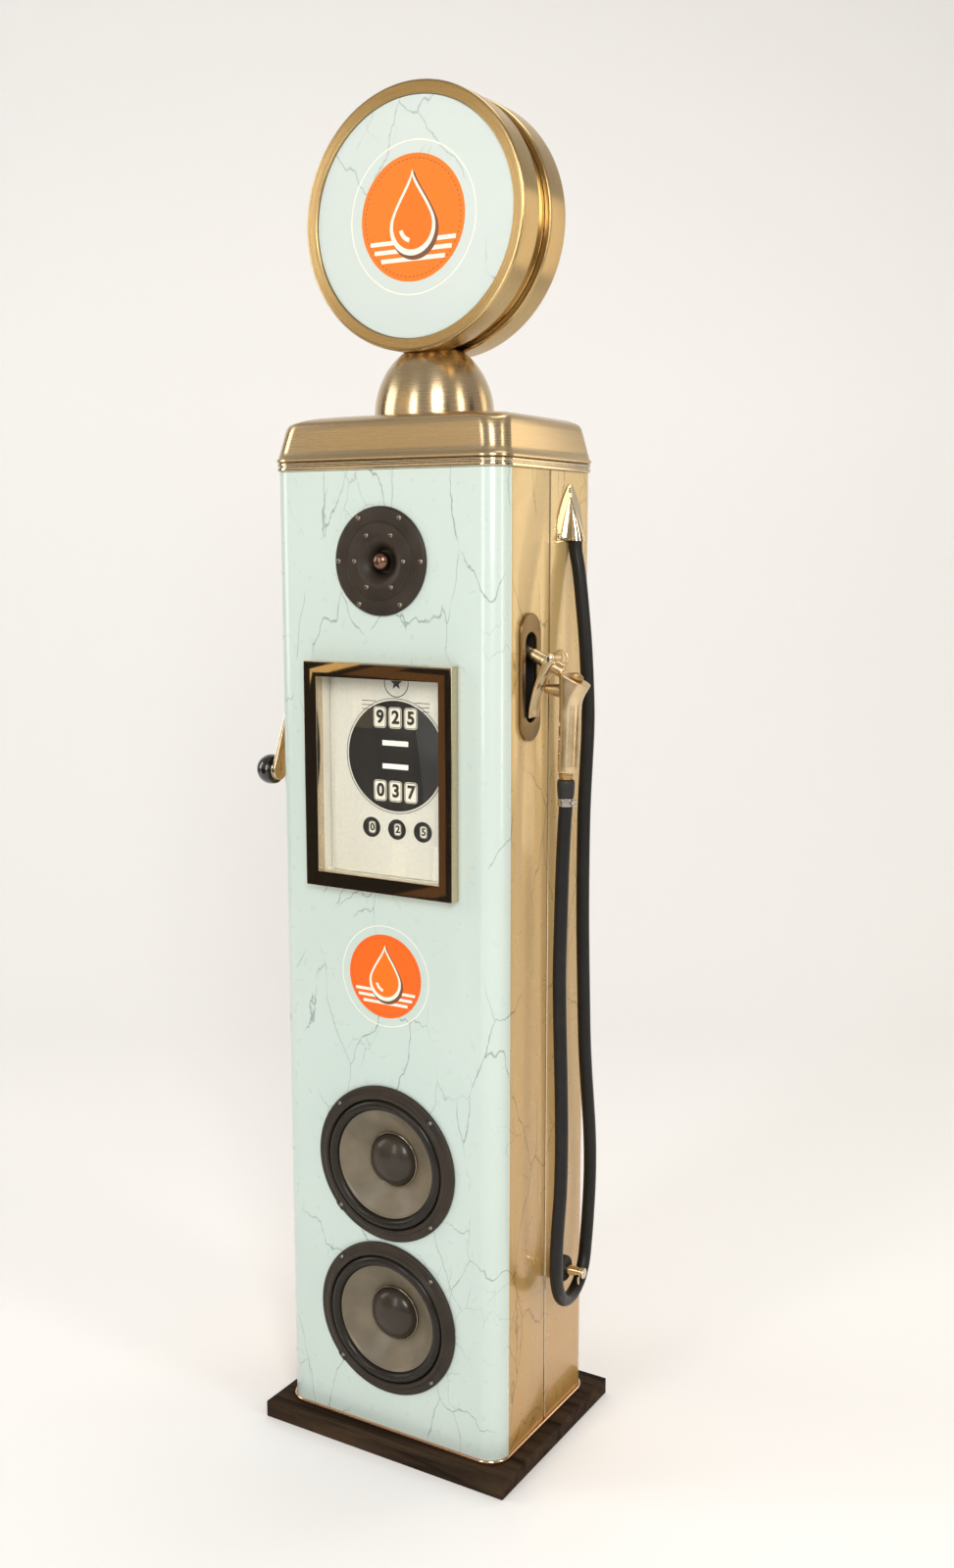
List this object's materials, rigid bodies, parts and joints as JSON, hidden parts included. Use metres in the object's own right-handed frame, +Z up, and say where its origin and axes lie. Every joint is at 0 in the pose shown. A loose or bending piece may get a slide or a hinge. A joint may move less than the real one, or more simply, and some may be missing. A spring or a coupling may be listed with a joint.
{
  "type": "retro gas pump loudspeaker cabinet",
  "caption": "Tall retro fuel pump cabinet with a round illuminated globe, dial window, front loudspeakers, a side nozzle in its boot, a looped hose and a hand crank",
  "frame": {"origin": "centre of the underside of the base board, on the floor", "axes": "+Z up; -Y out of the front face with the dial window; +X out of the side that carries the nozzle and hose"},
  "size_m": [0.4642, 0.2862, 1.6952],
  "materials": {
    "mint_enamel": "pale mint gloss enamel with a fine crackle",
    "gold_enamel": "tan-gold gloss enamel with a fine crackle",
    "brushed_nickel": "warm brushed nickel",
    "polished_trim": "polished warm nickel",
    "copper_trim": "polished coppery bead",
    "dark_wood": "dark-stained satin board",
    "bare_board": "unfinished fibreboard inside the cabinet",
    "black_plastic": "black satin moulding",
    "gloss_black": "glossy black moulding",
    "black_rubber": "satin black rubber",
    "speaker_cone": "brown-grey moulded diaphragm",
    "speaker_cap": "dark brown dust cap",
    "copper_plug": "satin copper phase plug",
    "brass": "satin brass",
    "steel": "plated steel",
    "dark_metal": "black powder coat",
    "cream_card": "cream printed dial",
    "opal_glass": "milky white translucent face",
    "clear_glass": "clear pane"
  },
  "bodies": {
    "cabinet": {"base_board": "dark_wood", "foot_bead": "copper_trim", "front_shell": "mint_enamel", "side_panel_right": "gold_enamel", "side_panel_left": "gold_enamel", "rear_shell": "gold_enamel", "seam_strip_right": "polished_trim", "seam_strip_left": "polished_trim", "inner_frame": "bare_board", "speaker_baffle": "bare_board", "top_plate": "bare_board", "top_bead": "polished_trim", "lid": "brushed_nickel", "neck": "brushed_nickel", "globe_ring_front": "brushed_nickel", "globe_face_front": "opal_glass", "globe_ring_rear": "brushed_nickel", "globe_face_rear": "opal_glass", "globe_drum": "polished_trim", "globe_lamp": "opal_glass", "side_panel_right_lower": "gold_enamel", "display_frame": "polished_trim", "display_glass": "clear_glass", "display_box": "cream_card", "dial_plate": "cream_card", "tweeter_plate": "black_plastic", "tweeter_plug": "copper_plug", "woofer_upper_frame": "black_plastic", "woofer_upper_surround": "black_rubber", "woofer_lower_frame": "black_plastic", "woofer_lower_surround": "black_rubber", "amplifier": "dark_metal", "power_inlet": "black_plastic", "boot_plate": "brushed_nickel", "boot_pocket": "black_plastic", "outlet_cover": "polished_trim", "outlet_screw_top": "polished_trim", "outlet_screw_front": "polished_trim", "outlet_screw_rear": "polished_trim", "hose": "black_rubber", "hose_peg": "polished_trim", "peg_bush": "black_rubber", "crank_bush": "polished_trim"},
    "crank": {"crank_arm": "brushed_nickel"},
    "knob": {"knob_ferrule": "polished_trim", "crank_knob": "gloss_black"},
    "nozzle": {"nozzle_body": "brushed_nickel", "nozzle_spout": "brushed_nickel", "pivot_pin": "polished_trim", "valve_cap": "brass", "hose_nipple": "brass", "hose_ferrule": "black_rubber", "hose_clamp": "steel"},
    "trigger": {"trigger_lever": "brushed_nickel"},
    "valve": {"valve_stem": "steel"},
    "upper_cone": {"woofer_upper_cone": "speaker_cone", "woofer_upper_cap": "speaker_cap"},
    "lower_cone": {"woofer_lower_cone": "speaker_cone", "woofer_lower_cap": "speaker_cap"},
    "rocker": {"power_switch": "gloss_black"}
  },
  "joints": [
    {"name": "crank_turn", "type": "hinge", "parent": "cabinet", "child": "crank", "pos_m": [-0.1895, -0.049, 0.95], "axis": [1, 0, 0], "continuous": true},
    {"name": "knob_spin", "type": "hinge", "parent": "crank", "child": "knob", "pos_m": [-0.202, -0.0799, 0.8701], "axis": [1, 0, 0], "continuous": true},
    {"name": "nozzle_lift", "type": "slide", "parent": "cabinet", "child": "nozzle", "axis": [1, 0, 0], "range_m": [0, 0.06], "deforming": ["hose"]},
    {"name": "trigger_squeeze", "type": "hinge", "parent": "nozzle", "child": "trigger", "pos_m": [0.197, -0.0522, 1.0275], "axis": [0, -1, 0], "range_deg": [0, 7], "stiffness_Nm_per_rad": 1.5, "springref_deg": -3.44},
    {"name": "valve_travel", "type": "slide", "parent": "nozzle", "child": "valve", "axis": [0.997, 0, -0.0772], "range_m": [0, 0.005]},
    {"name": "upper_cone_travel", "type": "slide", "parent": "cabinet", "child": "upper_cone", "axis": [0, 1, 0], "range_m": [-0.005, 0.005], "stiffness_N_per_m": 1200, "deforming": ["woofer_upper_surround"]},
    {"name": "lower_cone_travel", "type": "slide", "parent": "cabinet", "child": "lower_cone", "axis": [0, 1, 0], "range_m": [-0.005, 0.005], "stiffness_N_per_m": 1200, "deforming": ["woofer_lower_surround"]},
    {"name": "switch_rock", "type": "hinge", "parent": "cabinet", "child": "rocker", "pos_m": [0.06, 0.1185, 0.276], "axis": [-1, 0, 0], "range_deg": [0, 16]}
  ],
  "couplings": [
    {"joint": "valve_travel", "follows": "trigger_squeeze", "m_per_rad": 0.0385}
  ]
}
